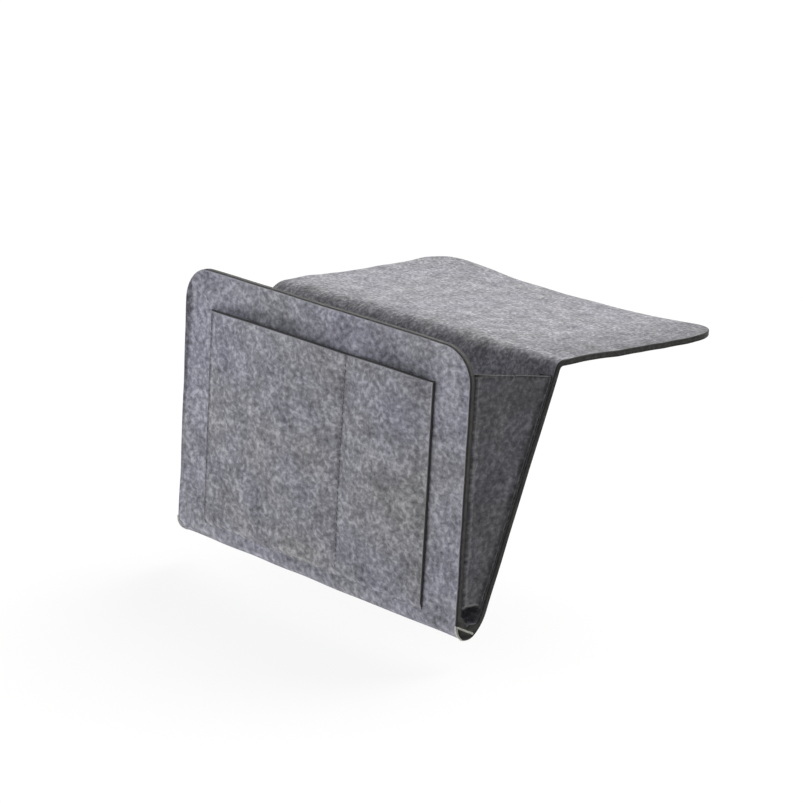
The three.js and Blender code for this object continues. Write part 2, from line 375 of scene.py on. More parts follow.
middle_fold = fold_axis.y - front_face - main_felt / 2
middle_heel = heel_radius - main_felt / 2
middle_bend = bend_radius + main_felt / 2
front_run = front_high.z - fold_axis.z
lower_runs = [
    (front_run, 0),
    (middle_fold * (pi - heel_lean), pi - heel_lean),
    (middle_heel * (heel_lean - back_lean), heel_lean - back_lean),
]
lower_length = sum(length for length, _ in lower_runs)
strip_start = (front_face + main_felt / 2, front_high.z)
bend_turn = pi / 2 - back_lean
up_back = Vector((0, sin(back_lean), cos(back_lean)))
off_back = Vector((0, -cos(back_lean), sin(back_lean)))
heel_y, heel_z, _ = follow(lower_length, strip_start, -pi / 2, lower_runs)
heel_end = Vector((0, float(heel_y), float(heel_z)))
back_top = bend_axis + off_back * middle_bend
back_run = (back_top - heel_end).dot(up_back)
flap_run = flap_end - bend_axis.y
strip_length = lower_length + back_run + middle_bend * bend_turn + flap_run
split = lower_length + heel_overlap


def strip_surface(x, distance):
    """Middle points and normals of the main felt.

    The back grows and the flap shrinks from left to right by the crease's skew, and the top bend gets
    tighter. Beyond its flat root the flap droops, curls up at its far edge, sags across and twists.
    """
    side = x / half_width
    skew = crease_skew * side
    slack = slack_bend * smooth(1 - side)
    cut_off = slack * np.tan(bend_turn / 2)
    bend_length = (middle_bend + slack) * bend_turn
    runs = lower_runs + [(back_run + skew - cut_off, 0), (bend_length, -bend_turn), (flap_run, 0)]
    y, z, angle = follow(distance, strip_start, -pi / 2, runs)
    on_flap = distance - (strip_length - flap_run) - skew
    out = np.clip((on_flap - flap_root) / (flap_run - flap_root), 0, 1)
    z = z - flap_droop * out + flap_lift * out**3
    z = z - flap_sag * (1 - side**2) * out**2 - flap_twist * side * out**2
    points = np.stack([x, y, z], -1)
    normals = np.stack([np.zeros_like(x), -np.sin(angle), np.cos(angle)], -1)
    return points + normals * ripple(points)[..., None], normals


def strip_grid(length, corner, bend):
    """Offsets from the strip's middle line and distances from its rounded end, as two grids.

    Rows follow the round corners by equal angles, then run on evenly, and are closer in the bend.
    Columns narrow with the corners, whose outline is a quarter circle.
    """
    rows = [corner * (1 - np.cos(CORNER_ANGLES)), np.linspace(corner, length, int(length / GRID_STEP))]
    rows = np.unique(np.round(np.concatenate(rows + [np.arange(*bend, BEND_STEP)]), 6))
    inset = corner - np.sqrt(corner**2 - np.clip(corner - rows, 0, corner) ** 2)
    columns = spread_columns(half_width, main_rim)
    body = np.clip(np.abs(columns) / (half_width - RIM_MARGIN * main_rim), 0, 1)
    x = columns - np.sign(columns) * body * inset[:, None]
    return x, np.broadcast_to(rows[:, None], x.shape)


def corner_edge(x, distance, corner):
    """Distance to the outline of a strip with a straight end and two round corners."""
    side = half_width - np.abs(x)
    round_edge = corner - np.hypot(corner - side, corner - distance)
    in_corner = (side < corner) & (distance < corner)
    return np.where(in_corner, round_edge, np.minimum(side, distance))


def fold_pinch(x, along):
    """How much the felt thickens inside the fold, where the tacks pinch its ends shut: level round the
    fold, with an ease before and after it, times an ease towards each end."""
    fold_length = lower_runs[1][0]
    into = smooth((along - front_run + pinch_ease) / pinch_ease)
    out = smooth((front_run + fold_length + pinch_ease - along) / pinch_ease)
    sideways = smooth((np.abs(x) - half_width + pinch_reach) / pinch_rise)
    return fold_fill * into * out * sideways


def left_edge_darkening(x, along):
    """A darker band up the front's left edge: straight, and thin and faint downwards."""
    high = np.clip((left_thin_at - along / front_run) / (left_thin_at - left_full_at), 0, 1)
    width = left_band_low + (left_band_high - left_band_low) * high
    band = smooth((width - half_width - x) / left_band_blur)
    depth = left_foot_darkness + (left_top_darkness - left_foot_darkness) * high
    return np.where(along < front_run, depth * band, 0)


def flap_shade(x, along):
    """Painted shade on the flap: in the hollow of the top bend, a bell curve along the strip that fades
    towards the right, and beyond it an ease towards the right edge."""
    from_bend = along - strip_length + flap_run
    from_right = (hollow_faint_at - x / half_width) / (hollow_faint_at - hollow_full_at)
    leftward = hollow_right + (1 - hollow_right) * smooth(from_right)
    hollow = hollow_shade * leftward * bell(from_bend + hollow_offset, hollow_width)
    rightward = smooth(1 - (half_width - x) / right_shade_reach)
    return np.maximum(hollow, right_shade * rightward * smooth(from_bend / right_shade_ease))


def front_wall(along):
    """Cut value in the middle of the front's wall, where less is darker: less along the top edge and its
    corners, as painted shade under the top light, and evenly less towards the foot."""
    at_top = smooth(1 + top_wall_lead - along / top_wall_fade)
    return front_wall_cut - top_wall_drop * at_top - foot_wall_drop * along / front_run


def main_felt_length(name, length, corner, bend, from_front, material):
    """One length of the main felt, from its rounded end to its plain end on the back panel."""
    x, distance = strip_grid(length, corner, bend)
    edge = np.maximum(corner_edge(x, distance, corner), 0)
    along = distance if from_front else strip_length - distance
    middle, normal = strip_surface(x, along)
    depth = rim_depth(edge, main_felt, main_rim)
    pinch = fold_pinch(x, along)
    depths = (depth + pinch, depth)
    plain_cut = cut_share(edge, main_rim / 2)
    cuts = (plain_cut, plain_cut)
    wall_cut = flap_wall_cut
    if from_front:
        cuts = (plain_cut, plain_cut * smooth((half_width + x - left_bare) / left_bare_fade))
        wall_cut = front_wall(along)
    # Painted shade on the upper face, in the bend's hollow, on the flap and in the fold, and the darker band
    # up the front's left edge on the lower face.
    shades = (np.maximum(flap_shade(x, along), fold_shade * pinch / fold_fill), left_edge_darkening(x, along))
    surface = np.stack([x, along], -1)
    return felt_slab(name, middle, normal, depths, cuts, shades, wall_cut, surface, material)


def make_main_felt(front_material, flap_material):
    """The strip in two lengths that meet on the back panel, each with one bend."""
    lower = main_felt_length(
        "felt_front_and_fold", split, front_corner, (front_run, split), True, front_material
    )
    upper_length = strip_length - split
    bend_start = flap_run - crease_skew - slack_bend
    bend_end = flap_run + middle_bend * bend_turn + crease_skew + slack_bend
    upper = main_felt_length(
        "felt_flap_and_back", upper_length, flap_corner, (bend_start, bend_end), False, flap_material
    )
    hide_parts("front_panel", "bottom_fold")
    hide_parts("mattress_flap", "top_bend", "back_panel")
    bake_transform(lower)
    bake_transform(upper)


# Patch pocket.

pocket_high.z += mouth_lift
pocket_rise = pocket_high.z - pocket_low.z
seam_from_edge = pocket_hem / 2
left_seam = pocket_low.x + seam_from_edge
right_seam = pocket_high.x - seam_from_edge
low_seam = pocket_low.z + seam_from_edge


def divider_at(z):
    """The divider seam's place across the pocket: a half wave to the left of its straight line."""
    share = np.clip((z - pocket_low.z) / pocket_rise, 0, 1)
    return divider_x - divider_bow * np.sin(pi * share**bow_power)


def pocket_crown(x, z):
    """How far the pocket stands off: a half wave between the sewn lines that grows from hem to mouth."""
    divider = divider_at(z)
    start = np.where(x < divider, pocket_low.x + pocket_hem, divider + pocket_hem / 2)
    end = np.where(x < divider, divider - pocket_hem / 2, pocket_high.x - pocket_hem)
    across = np.clip((x - start) / (end - start), 0, 1)
    rise = np.clip((z - pocket_low.z - pocket_hem) / (pocket_rise - pocket_hem), 0, 1)
    return pocket_gape * np.sin(pi * across) * np.sin(pi / 2 * rise)


def near_lines(low, high, lines, rim):
    """Places between two cut edges, close together in their rims and beside each sewn line."""
    steps = rim_steps(rim)
    even = np.linspace(low + 2 * rim, high - 2 * rim, int((high - low) / GRID_STEP))
    places = [low + steps, high - steps, even] + [line + SEAM_STEPS for line in lines]
    return np.unique(np.round(np.concatenate(places), 5))


def make_pocket(material):
    """The pocket is a sheet that stands off the front panel by its crown, thinner at its sewn edges.

    Its mouth rises with the crown, by the cube of the height. The divider seam pulls a groove into it, as a
    bell curve, darkened with painted shade, and a line of painted shadow runs along the left edge, which
    also stands for its dark cut.
    """
    upright_seams = [left_seam, divider_x, divider_x - divider_bow, right_seam]
    columns = near_lines(pocket_low.x, pocket_high.x, upright_seams, thin_rim)
    rows = near_lines(pocket_low.z, pocket_high.z, [low_seam], thin_rim)
    x, z = np.meshgrid(columns, rows)
    side = np.minimum(x - pocket_low.x, pocket_high.x - x)
    foot = z - pocket_low.z
    edge = np.minimum(side, pocket_high.z - z)
    felt = pressed_felt + (pocket_felt - pressed_felt) * smooth(side / pressed_reach)
    felt = foot_felt + (felt - foot_felt) * smooth(foot / foot_reach)
    crown = pocket_crown(x, z)
    y = pocket_high.y - felt / 2 - crown
    middle = np.stack([x, y, z + mouth_bow * crown / pocket_gape * (foot / pocket_rise) ** 3], -1)
    out = np.broadcast_to([0.0, -1.0, 0.0], middle.shape)
    depth = rim_depth(edge, felt, np.minimum(thin_rim, felt / 2))
    # The divider's groove, dented and darkened with painted shade, and the painted shadow line along the
    # left edge.
    groove = bell(x - divider_at(z), groove_width) * smooth(foot / groove_ease)
    dent = np.minimum(stitch_groove * groove, felt / 4)
    pocket_left_shadow = pocket_left_shadow_depth * bell(x - pocket_low.x - pocket_left_shadow_inset, pocket_left_shadow_width)
    open_edge = np.minimum(pocket_high.x - x, pocket_high.z - z)
    cuts = (cut_share(open_edge, pocket_cut_line), cut_share(edge, thin_rim))
    shades = (np.maximum(groove_shade * groove, pocket_left_shadow), np.zeros_like(x))
    depths = (depth - dent, depth)
    surface = np.stack([x, z], -1)
    pocket = felt_slab(
        "felt_pocket", middle, out, depths, cuts, shades, pocket_wall_cut, surface, material
    )
    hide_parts("front_pocket")
    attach(pocket, "front")


# Side gussets. Both flanges' hinge lines would meet at the apex, below the fold.

front_hinge = Vector(joints["right_front_hinge"]["pos_m"])
rear_hinge = Vector(joints["right_rear_hinge"]["pos_m"])
rear_way = Vector(joints["right_rear_hinge"]["axis"])
apex_z = rear_hinge.z + rear_way.z * (front_hinge.y - rear_hinge.y) / rear_way.y
apex = np.array([0, front_hinge.y, apex_z])
web_low = flange_low.z - apex_z
web_high = flange_high.z - apex_z
half_lean = back_lean / 2
seat_gap = flange_low.y - front_high.y
to_crease = np.array([0, cos(half_lean), -sin(half_lean)])
front_ways = (np.array([0.0, 0, 1]), np.array([0.0, 1, 0]))  # up the panel, and off it into the pouch
rear_ways = (np.array(up_back), np.array(off_back))
hands = ((1, "right"), (-1, "left"))


def gusset_half(name, side, up, off, to_middle, turn, bend_highlight, bend_shade, material):
    """Half a gusset: a flange along its panel, a round bend and the web as far as the centre crease.

    Columns run outwards along the flange, round a quarter circle and on to the crease. Rows climb from the
    apex. Each web row is square to the crease, so rows get longer as they climb, and the lower edge arches
    up towards the crease. The two values after turn give a painted highlight on the bend and painted shade
    in it.
    """
    flange_run = flange_width - gusset_felt / 2 - turn
    start = (half_width - flange_width, gusset_felt / 2)
    hinge_off = gusset_felt + 2 * seat_gap
    bend_run = turn * pi / 2
    steps = rim_steps(thin_rim)
    flange = np.linspace(2 * thin_rim, flange_run, FLANGE_COLUMNS)[1:]
    bend = flange_run + np.linspace(0, bend_run, TURN_COLUMNS)[1:]
    strip = np.concatenate([steps, flange, bend])
    web_share = np.linspace(0, 1, WEB_COLUMNS)[1:]
    columns = np.concatenate([strip, np.full(len(web_share), flange_run + bend_run)])
    share = np.concatenate([np.zeros(len(strip)), web_share])
    climb = np.linspace(2 * thin_rim, 1, WEB_ROWS)[1:-1]
    arch = arch_rise * np.sqrt(1 - (1 - share) ** 2)
    bottom, top = web_low + arch, np.full(len(share), web_high)
    body = bottom + (top - bottom) * climb[:, None]
    rise = np.concatenate([bottom + steps[:, None], body, top - steps[::-1, None]])
    outward, lift, angle = follow(columns, start, 0, [(flange_run, 0), (bend_run, pi / 2)])
    past = (rise * sin(half_lean) - (lift - hinge_off)) * share
    middle = apex + rise[..., None] * up
    middle = middle + (lift - hinge_off)[:, None] * off + past[..., None] * to_middle
    middle[..., 0] = side * outward
    off_panel = np.cos(angle)[:, None] * off
    facing = np.outer(-side * np.sin(angle), [1, 0, 0])
    normal = np.broadcast_to(facing + off_panel, middle.shape)
    middle = middle + normal * ripple(middle - off_panel * (main_felt + gusset_felt) / 2)[..., None]
    edge = np.minimum(np.minimum(rise - bottom, top - rise), columns + share)
    edge = np.maximum(edge, 0)
    depth = rim_depth(edge, gusset_felt, thin_rim)
    along = columns + past
    from_crease = along[:, -1:] - along
    surface = np.stack([CREASE_SHIFT + off[1] * from_crease, rise + HAND_SHIFT * side], -1)
    past_bend = along - flange_run - bend_run
    rim_cut = smooth(1 + gusset_cut_lead - edge / gusset_cut_line)
    at_top = top - rise < rise - bottom
    face_cut = rim_cut * np.where(at_top, min(1, 2 * bend_highlight) * (1 - share), 1)
    high = (rise - bottom) / (top - bottom)
    # A painted highlight at the end of the front bend, fainter towards the foot.
    highlight = bend_highlight * (highlight_at_foot + (1 - highlight_at_foot) * high) * bell(past_bend - highlight_offset, highlight_width)
    cuts = (rim_cut, np.maximum(face_cut, highlight))
    # Painted shade in the rear bend and on the top edge.
    shade = np.maximum(bend_shade * bell(past_bend, bend_shade_width), gusset_top_shade * rim_cut * at_top)
    return felt_slab(
        name, middle, normal, (depth, depth), cuts, (shade, shade), gusset_wall_cut, surface, material
    )


def make_gussets(material):
    """Four halves, one along each panel at each side. Each runs from its panel into its web."""
    halves = [
        ("front", *front_ways, to_crease, front_turn, front_bend_highlight, 0, "front"),
        ("rear", *rear_ways, -to_crease, rear_turn, 0, rear_bend_shade, "back"),
    ]
    for side, hand in hands:
        for place, up, off, to_middle, turn, bend_highlight, bend_shade, panel in halves:
            half = f"{hand}_{place}"
            piece = gusset_half(f"{half}_gusset", side, up, off, to_middle, turn, bend_highlight, bend_shade, material)
            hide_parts(f"{half}_flange", f"{half}_web")
            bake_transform(piece)


# Stitches and tacks.

def stitch_places(start, end):
    """Middles of the stitches of a straight seam, evenly spaced, and the way that they run."""
    start, end = np.array(start), np.array(end)
    length = np.linalg.norm(end - start)
    count = int(length / stitch_pitch)
    share = (np.arange(count) + 0.5) / count
    return start + share[:, None] * (end - start), np.broadcast_to((end - start) / length, (count, 3))


def stitch_row(name, seams, out, material):
    """A seam of stitches. Each is a round thread that rises from the felt and dips back: its height is a
    parabola along it, and its radius an ellipse."""
    middles, ways = [np.concatenate(part) for part in zip(*[stitch_places(*seam) for seam in seams])]
    out = np.array(out)
    beside = np.cross(ways, out)
    t = np.linspace(-1, 1, STITCH_RINGS)
    turn = np.linspace(0, 2 * pi, STITCH_SIDES + 1)
    radius = stitch_radius * np.sqrt(1 - t**2)
    height = stitch_radius * (stitch_stand - (stitch_stand + stitch_dip) * t**2)
    ring = radius[:, None] * np.cos(turn)
    stand = height[:, None] + radius[:, None] * np.sin(turn)
    run = (t * stitch_length / 2)[:, None]
    points = (
        middles[:, None, None]
        + ways[:, None, None] * run[..., None]
        + beside[:, None, None] * ring[..., None]
        + out * stand[..., None]
    )
    surface = np.stack(np.broadcast_arrays(run, stitch_radius * turn), -1)
    plain = np.zeros(points.shape[1:3])
    patches = [(stitch, surface, plain, plain) for stitch in points]
    return mesh_piece(name, patches, material)


def make_seams(material):
    """The pocket's seams on its face, and one seam down each gusset flange that follows its ripple."""
    face = pocket_high.y - pocket_felt + stitch_groove
    side_face = pocket_high.y - pressed_felt
    foot_face = pocket_high.y - 2 * foot_felt
    high = pocket_high.z - seam_from_edge
    corners = [
        (left_seam, side_face, high),
        (left_seam, foot_face, low_seam),
        (right_seam, foot_face, low_seam),
        (right_seam, side_face, high),
    ]
    outward = (0, -1, 0)
    edge_seam = stitch_row("pocket_edge_stitches", list(zip(corners, corners[1:])), outward, material)
    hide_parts("pocket_edge_seam")
    places = np.linspace(low_seam + seam_from_edge, high, DIVIDER_TURNS)
    turns = np.stack([divider_at(places), np.full_like(places, face), places], -1)
    divider_seam = stitch_row("pocket_divider_stitches", list(zip(turns, turns[1:])), outward, material)
    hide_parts("pocket_divider_seam")
    for piece in (edge_seam, divider_seam):
        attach(piece, "front")
    seam_x = half_width - flange_width + seam_inset
    for side, hand in hands:
        for place, (up, off), body in (("front", front_ways, "front"), ("rear", rear_ways, "back")):
            rises = np.arange(web_low + seam_from_edge, web_high - seam_from_edge, ONE_STITCH)
            turns = apex - off * 2 * seat_gap + [side * seam_x, 0, 0] + up * rises[:, None]
            turns = turns + off * ripple(turns - off * (main_felt / 2 + gusset_felt))[:, None]
            seam = stitch_row(f"{hand}_{place}_stitches", list(zip(turns, turns[1:])), off, material)
            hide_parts(f"{hand}_{place}_seam")
            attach(seam, body)


def tack_path(steps):
    """Y and Z points round the loop on the fold's cut end: an arc under the fold, then its chord."""
    radius = fold_axis.y - tack_low.y - tack_thread / 2 + tack_wrap
    arc = np.linspace(pi, 2 * pi - heel_lean, steps)
    round_part = np.stack([fold_axis.y + radius * np.cos(arc), fold_axis.z + radius * np.sin(arc)], -1)
    share = np.linspace(0, 1, steps // 2)[1:-1, None]
    return np.concatenate([round_part, round_part[-1] * (1 - share) + round_part[0] * share])


def make_tacks(material):
    """Each tack is two strands twisted round a closed path: each winds round it at half the thread's
    radius, once in a ply pitch. It is plump at its start and sinks into the felt under the fold."""
    corners = tack_path(TACK_ARC_STEPS)
    closed = np.concatenate([corners, corners[:1]])
    run = np.concatenate([[0], np.cumsum(np.linalg.norm(np.diff(closed, axis=0), axis=1))])
    at = np.linspace(0, run[-1], TACK_RINGS)
    path = np.stack([np.interp(at, run, closed[:, k]) for k in (0, 1)], -1)
    ahead = np.roll(path[:-1], -2, axis=0) - np.roll(path[:-1], 2, axis=0)
    ahead = np.concatenate([ahead, ahead[:1]])
    ahead /= np.linalg.norm(ahead, axis=1)[:, None]
    beside = np.stack([np.zeros(len(at)), -ahead[:, 1], ahead[:, 0]], -1)
    outward = np.array([1.0, 0, 0])
    winds = 2 * pi * round(run[-1] / ply_pitch) * at / run[-1]
    share = at / run[-1]
    plump = 1 + tack_swell * smooth(1 - share / swell_end)
    sunk = tack_thread * (tack_depth + tack_extra * smooth((share - sink_start) / sink_ease))
    sunk = sunk * smooth((rise_end - share) / rise_ease)
    ring = np.linspace(0, 2 * pi, TACK_SIDES + 1)
    for side, hand, pull in ((1, "right", 0), (-1, "left", left_pull)):
        centre = np.concatenate([side * (tack_low.x + tack_thread / 2 - sunk - pull)[:, None], path], axis=1)
        patches = []
        for phase in (0, pi):
            way = beside * np.cos(winds + phase)[:, None] + outward * np.sin(winds + phase)[:, None]
            strand = centre + way * tack_thread / 4
            rim = beside[:, None] * np.cos(ring)[:, None] + outward * np.sin(ring)[:, None]
            tube = strand[:, None] + rim * (ply_size * tack_thread * plump)[:, None, None]
            surface = np.stack(np.broadcast_arrays(at[:, None], tack_thread * ring), -1)
            plain = np.zeros(tube.shape[:2])
            patches.append((tube, surface, plain, plain))
        tack = mesh_piece(f"{hand}_thread_tack", patches, material)
        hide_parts(f"{hand}_end_tack")
        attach(tack, "back")


# Materials.

# Pairs of tints between which each felt drifts.
WIDE_TINTS = ((1.0, 1.0, 0.98, 1), (0.98, 0.975, 1.1, 1))
FRONT_TINTS = ((1.0, 1.0, 1.03, 1), (0.985, 0.98, 1.09, 1))
FLAP_TINTS = ((1.0, 1.0, 1.0, 1), (0.99, 0.985, 1.03, 1))
# How finely the fibres lie across and along the felt. About 1000 draws them at their plain size.
PLAIN_GRAIN = (870, 1000, 0)
FLAP_GRAIN = (1350, 1350, 0)
# Each felt's dark, plain and light wool, painted highlight along its cuts and bends, tints and grain. The
# flap's wool is the front's felt made a little darker, and the gussets' much darker, as painted shade.
FELTS = {
    "main_felt": (
        (0.10, 0.10, 0.108), (0.253, 0.253, 0.272), (0.50, 0.50, 0.525), 0.16, FRONT_TINTS, PLAIN_GRAIN
    ),
    "flap_felt": (
        (0.102, 0.102, 0.108), (0.246, 0.246, 0.262), (0.49, 0.49, 0.512), 0.16, FLAP_TINTS, FLAP_GRAIN
    ),
    "pocket_felt": (
        (0.098, 0.098, 0.105), (0.237, 0.238, 0.251), (0.49, 0.49, 0.507), 0.06, WIDE_TINTS, PLAIN_GRAIN
    ),
    "gusset_felt": (
        (0.073, 0.073, 0.078), (0.162, 0.162, 0.17), (0.315, 0.315, 0.325), 0.4, FRONT_TINTS, PLAIN_GRAIN
    ),
}
# Each thread's colour between its plies, darker as painted shade, and on them, and the pitch of its plies.
THREADS = {
    "grey_thread": ((0.14, 0.14, 0.147), (0.26, 0.26, 0.27), 0.9 * MM),
    "pale_thread": ((0.5, 0.5, 0.45), (0.8, 0.8, 0.74), 0.7 * MM),
}


def fill(tree, node, inputs):
    """Links or sets inputs of a node."""
    for name, value in inputs.items():
        if isinstance(value, bpy.types.NodeSocket):
            tree.links.new(value, node.inputs[name])
        else:
            node.inputs[name].default_value = value


def add(tree, kind, inputs=(), **settings):
    """A shader node with its settings and inputs."""
    made = tree.nodes.new("ShaderNode" + kind)
    for name, value in settings.items():
        setattr(made, name, value)
    fill(tree, made, dict(inputs))
    return made


def new_group(name, inputs, outputs):
    """An empty node group, with the sockets that it is given by name and its end node."""
    tree = bpy.data.node_groups.new(name, "ShaderNodeTree")
    for in_out, sockets in (("INPUT", inputs), ("OUTPUT", outputs)):
        for socket, kind in sockets.items():
            tree.interface.new_socket(socket, in_out=in_out, socket_type="NodeSocket" + kind)
    return tree, tree.nodes.new("NodeGroupInput").outputs, tree.nodes.new("NodeGroupOutput")


def new_material(name):
    """A plain material, with its tree, its shader and its surface map."""
    material = bpy.data.materials.new(name)
    material.use_nodes = True
    tree = material.node_tree
    surface = add(tree, "UVMap", uv_map="surface").outputs[0]
    return material, tree, tree.nodes["Principled BSDF"], surface


def combine(tree, operation, first, second, kind="Math"):
    """Two values, or two vectors, taken together by a named operation."""
    return add(tree, kind, {0: first, 1: second}, operation=operation).outputs[0]


def mix(tree, share, first, second, **settings):
    """A colour between two, or another blend of them."""
    return add(tree, "Mix", {0: share, 6: first, 7: second}, data_type="RGBA", **settings).outputs[2]


def change_range(tree, value, low, high, new_low=0.0, new_high=1.0):
    """A value moved from one range to another, and kept inside it."""
    return add(tree, "MapRange", {0: value, 1: low, 2: high, 3: new_low, 4: new_high}).outputs[0]


def noise(tree, vector, scale, detail, roughness=0.5):
    """Cloudy noise over a flat surface, as a value and a colour."""
    inputs = {"Vector": vector, "Scale": scale, "Detail": detail, "Roughness": roughness}
    return add(tree, "TexNoise", inputs, noise_dimensions="2D").outputs


def stretch(tree, value, spread):
    """Spreads a noise that stays near 0.5 over 0 to 1."""
    return change_range(tree, value, 0.5 - spread, 0.5 + spread)


def streaks(tree, vector, length, width, angles, detail, spread):
    """The mean of several long noises, each along its own way, spread over 0 to 1."""
    total = 0.0
    for angle in angles:
        apart = (17 * angle, 5 * angle, 0)
        place = {"Vector": vector, "Location": apart, "Rotation": (0, 0, angle), "Scale": (length, width, 1)}
        turned = add(tree, "Mapping", place, vector_type="TEXTURE").outputs[0]
        layer = noise(tree, turned, scale=1.0, detail=detail, roughness=0.55)[0]
        total = combine(tree, "ADD", total, layer)
    return stretch(tree, combine(tree, "DIVIDE", total, float(len(angles))), spread)


def weigh(tree, parts):
    """The sum of values, each times its weight."""
    total = 0.0
    for value, weight in parts:
        total = combine(tree, "ADD", combine(tree, "MULTIPLY", value, weight), total)
    return total


def felt_fibres():
    """Matted fibres: blots of a few millimetres, bent streaks through them and single hairs over them.

    Tone is light or dark wool, Height the nap and Cloud a slow drift of tint.
    """
    outputs = {"Tone": "Float", "Height": "Float", "Cloud": "Float"}
    tree, given, end = new_group("felt_fibres", {"Surface": "Vector", "Grain": "Vector"}, outputs)
    in_mm = combine(tree, "MULTIPLY", given["Surface"], given["Grain"], "VectorMath")
    drift = noise(tree, in_mm, scale=0.1, detail=2.0)["Color"]
    shift = combine(tree, "SUBTRACT", drift, (0.5, 0.5, 0.5), "VectorMath")
    pull = combine(tree, "MULTIPLY", shift, (4, 4, 4), "VectorMath")
    bent = combine(tree, "ADD", in_mm, pull, "VectorMath")
    blots = stretch(tree, noise(tree, bent, scale=0.24, detail=2.4, roughness=0.62)[0], spread=0.26)
    wisps = streaks(tree, bent, length=6, width=3, angles=(0.5, 1.15, 2.0, 2.65), detail=1.0, spread=0.18)
    hairs = streaks(tree, bent, length=4, width=0.9, angles=(0.1, 0.9, 1.7, 2.5), detail=0.5, spread=0.16)
    patches = stretch(tree, noise(tree, in_mm, scale=0.05, detail=2.0)[0], spread=0.3)
    cloud = stretch(tree, noise(tree, in_mm, scale=0.014, detail=2.0)[0], spread=0.22)
    tone = weigh(tree, [(blots, 0.50), (wisps, 0.17), (hairs, 0.07), (patches, 0.26)])
    height = weigh(tree, [(hairs, 0.5), (wisps, 0.3), (blots, 0.2)])
    fill(tree, end, {"Tone": tone, "Height": height, "Cloud": cloud})
    return tree


def felt_cut():
    """Felt by its cut value and its shade. The cut value is 0 on plain felt. Towards 1 comes a line of
    painted highlight, where fuzz along the cut catches light, then the dark rim of a cut, and above 1 the
    olive middle of a cut wall. The shade darkens it as painted shade, or as the darker band up the front's
    left edge."""
    inputs = {"Colour": "Color", "Cut": "Float", "Shade": "Float", "Tone": "Float", "Highlight": "Float"}
    tree, given, end = new_group("felt_cut", inputs, {"Colour": "Color"})
    uneven = combine(tree, "MULTIPLY", combine(tree, "SUBTRACT", given["Tone"], 0.5), 0.5)
    frayed = combine(tree, "ADD", given["Cut"], uneven)
    colour = given["Colour"]
    # A painted highlight where fuzz catches light, then the dark rim and the olive wall of a cut.
    steps = [
        (0.15, 0.65, given["Highlight"], (0.6, 0.6, 0.6, 1)),
        (0.7, 0.95, 0.9, (0.034, 0.034, 0.031, 1)),
        (1.05, 1.4, 0.75, (0.135, 0.134, 0.122, 1)),
    ]
    for begin, full, most, tone in steps:
        share = change_range(tree, frayed, begin, full, 0.0, most)
        colour = mix(tree, share, colour, tone)
    # Painted shade, or the darker band up the front's left edge, made uneven by the fibres.
    broken = combine(tree, "SUBTRACT", 1.0, combine(tree, "MULTIPLY", uneven, 1.6))
    shade_share = combine(tree, "MINIMUM", combine(tree, "MULTIPLY", given["Shade"], broken), 0.9)
    fill(tree, end, {"Colour": mix(tree, shade_share, colour, (0.02, 0.02, 0.02, 1))})
    return tree


def felt_material(name, groups, dark, plain, light, highlight, tints, grain):
    """Felt: three shades of fibre and two tints over its own surface map, darker at the cut edges, with a
    painted highlight by its cuts and painted shade from its shade attribute.
    """
    material, tree, shader, surface = new_material(name)
    fibres = add(tree, "Group", {"Surface": surface, "Grain": grain}, node_tree=groups["fibres"]).outputs
    shades = add(tree, "ValToRGB", {0: fibres["Tone"]})
    ramp = shades.color_ramp
    ramp.elements[0].position, ramp.elements[0].color = 0.15, (*dark, 1)
    ramp.elements[1].position, ramp.elements[1].color = 0.85, (*light, 1)
    ramp.elements.new(0.5).color = (*plain, 1)
    tint = mix(tree, fibres["Cloud"], *tints)
    tinted = mix(tree, 1.0, shades.outputs[0], tint, blend_type="MULTIPLY")
    cut = add(tree, "Attribute", attribute_name="cut", attribute_type="GEOMETRY").outputs["Fac"]
    shade = add(tree, "Attribute", attribute_name="shade", attribute_type="GEOMETRY").outputs["Fac"]
    edge = {"Colour": tinted, "Cut": cut, "Shade": shade, "Tone": fibres["Tone"], "Highlight": highlight}
    bump = {"Strength": 0.1, "Distance": 0.5 * MM, "Height": fibres["Height"]}
    look = {
        "Base Color": add(tree, "Group", edge, node_tree=groups["cut"]).outputs[0],
        "Roughness": change_range(tree, fibres["Height"], 0.0, 1.0, 0.98, 0.86),
        "Normal": add(tree, "Bump", bump).outputs[0],
        "Specular IOR Level": 0.08,
        "Sheen Weight": 0.04,
        "Sheen Roughness": 0.6,
    }
    fill(tree, shader, look)
    return material


def thread_twist():
    """The slanting plies of a thread, as a wave across its own surface map."""
    inputs = {"Surface": "Vector", "Pitch": "Float"}
    tree, given, end = new_group("thread_twist", inputs, {"Ply": "Float"})
    parts = add(tree, "SeparateXYZ", {0: given["Surface"]})
    slant = combine(tree, "ADD", parts.outputs[0], combine(tree, "MULTIPLY", parts.outputs[1], 0.8))
    turns = combine(tree, "MULTIPLY", combine(tree, "DIVIDE", slant, given["Pitch"]), 2 * pi)
    wave = combine(tree, "SINE", turns, 0.0)
    fill(tree, end, {"Ply": change_range(tree, wave, -1.0, 1.0)})
    return tree


def thread_material(name, groups, dark, light, pitch):
    """Sewing thread: its plies are lighter on their crowns than between them, where painted shade darkens
    it.
    """
    material, tree, shader, surface = new_material(name)
    twist = {"Surface": surface, "Pitch": pitch}
    ply = add(tree, "Group", twist, node_tree=groups["twist"]).outputs[0]
    bump = {"Strength": 0.6, "Distance": 0.1 * MM, "Height": ply}
    look = {
        "Base Color": mix(tree, ply, (*dark, 1), (*light, 1)),
        "Roughness": change_range(tree, ply, 0.0, 1.0, 0.8, 0.6),
        "Normal": add(tree, "Bump", bump).outputs[0],
    }
    fill(tree, shader, look)
    return material


# Floor, light and camera.

